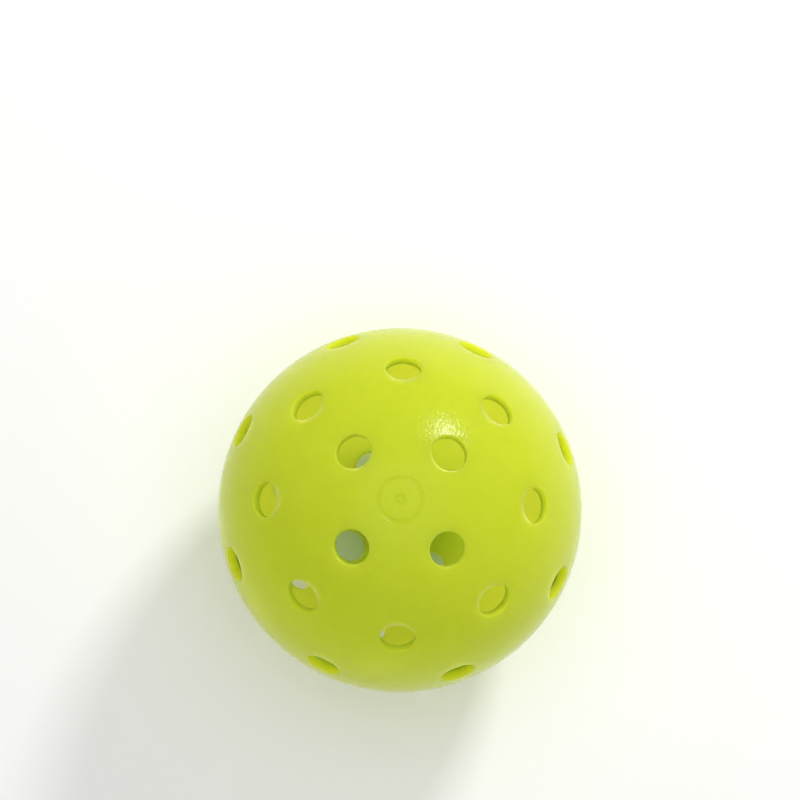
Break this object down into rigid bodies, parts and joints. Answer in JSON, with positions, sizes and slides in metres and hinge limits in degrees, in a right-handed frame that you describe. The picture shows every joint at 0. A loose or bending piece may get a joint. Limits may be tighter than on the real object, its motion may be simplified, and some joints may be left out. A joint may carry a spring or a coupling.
{
  "type": "pickleball ball",
  "caption": "Hollow rigid ball of two half shells welded at the rim, drilled with round holes in rings about its poles, for paddle play.",
  "frame": {"origin": "centre of the ball", "axes": "+Z through the pole of the upper half shell, along the axis that the rings of holes run round; XY is the joint plane; +X runs over the first hole of the middle ring"},
  "size_m": [0.074, 0.074, 0.074],
  "materials": {
    "shell_plastic": "semi-gloss, slightly translucent polyethylene with a fine moulded texture",
    "weld_plastic": "re-set polyethylene, trimmed, a little glossier than the shell"
  },
  "bodies": {
    "root": {"upper_half_shell": "shell_plastic", "lower_half_shell": "shell_plastic", "weld_seam": "weld_plastic"}
  },
  "joints": []
}
